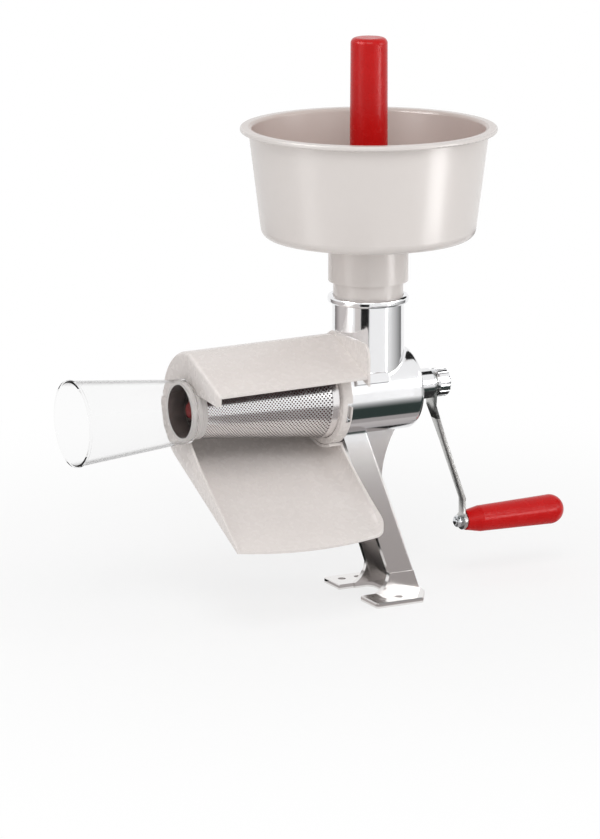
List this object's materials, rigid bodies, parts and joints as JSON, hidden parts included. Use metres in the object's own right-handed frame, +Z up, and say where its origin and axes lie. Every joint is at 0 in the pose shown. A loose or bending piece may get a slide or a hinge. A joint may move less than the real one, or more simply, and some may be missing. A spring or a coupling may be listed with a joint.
{
  "type": "hand cranked tomato strainer",
  "caption": "Hand cranked food strainer with hopper, pusher, tapered screen, hood, juice chute and clear waste funnel on a bolt-down leg.",
  "frame": {"origin": "centre of the four foot bolt holes, on the underside of the foot", "axes": "+Z up along the throat, +X from the waste funnel towards the crank, -Y towards the chute's lip"},
  "size_m": [0.4785, 0.22, 0.4889],
  "materials": {
    "polished_casting": "polished",
    "bright_steel": "bright plated",
    "arm_steel": "satin",
    "screen_steel": "bright",
    "white_plastic": "semi-gloss off-white",
    "red_plastic": "gloss red",
    "milky_plastic": "translucent milky",
    "clear_plastic": "clear",
    "bush_plastic": "matte",
    "seal_rubber": "matte"
  },
  "bodies": {
    "frame": {"body_casting": "polished_casting", "lock_studs": "bright_steel", "rear_bush": "bush_plastic", "shaft_seal": "seal_rubber", "screen_gasket": "seal_rubber", "screen_rear_rim": "screen_steel", "screen_cone": "screen_steel", "screen_nose": "milky_plastic", "juice_chute": "white_plastic"},
    "crank_set": {"drive_shaft": "bright_steel", "auger_screw": "red_plastic", "hub_washer": "bright_steel", "crank_arm": "arm_steel", "thumb_nut": "polished_casting", "handle_pin": "bright_steel", "handle_nut": "bright_steel", "pin_washer": "bright_steel"},
    "grip": {"handle_grip": "red_plastic"},
    "pusher": {"pusher": "red_plastic"},
    "hopper": {"hopper_bowl": "white_plastic"},
    "hood": {"splash_hood": "white_plastic"},
    "funnel": {"waste_funnel": "clear_plastic"},
    "ring": {"locking_ring": "white_plastic"}
  },
  "joints": [
    {"name": "crank_turn", "type": "hinge", "parent": "frame", "child": "crank_set", "pos_m": [0, 0, 0.182], "axis": [1, 0, 0], "continuous": true},
    {"name": "grip_spin", "type": "hinge", "parent": "crank_set", "child": "grip", "pos_m": [0.1, 0, 0.054], "axis": [1, 0, 0], "continuous": true},
    {"name": "pusher_slide", "type": "slide", "parent": "frame", "child": "pusher", "axis": [0, 0, 1], "range_m": [0, 0.2]},
    {"name": "hopper_lift", "type": "slide", "parent": "frame", "child": "hopper", "axis": [0, 0, 1], "range_m": [0, 0.06]},
    {"name": "hood_lift", "type": "slide", "parent": "frame", "child": "hood", "axis": [0, 0, 1], "range_m": [0, 0.02]},
    {"name": "funnel_pull", "type": "slide", "parent": "frame", "child": "funnel", "axis": [-1, 0, 0], "range_m": [0, 0.03]},
    {"name": "ring_twist", "type": "hinge", "parent": "frame", "child": "ring", "pos_m": [-0.045, 0, 0.182], "axis": [1, 0, 0], "range_deg": [0, 19]}
  ]
}
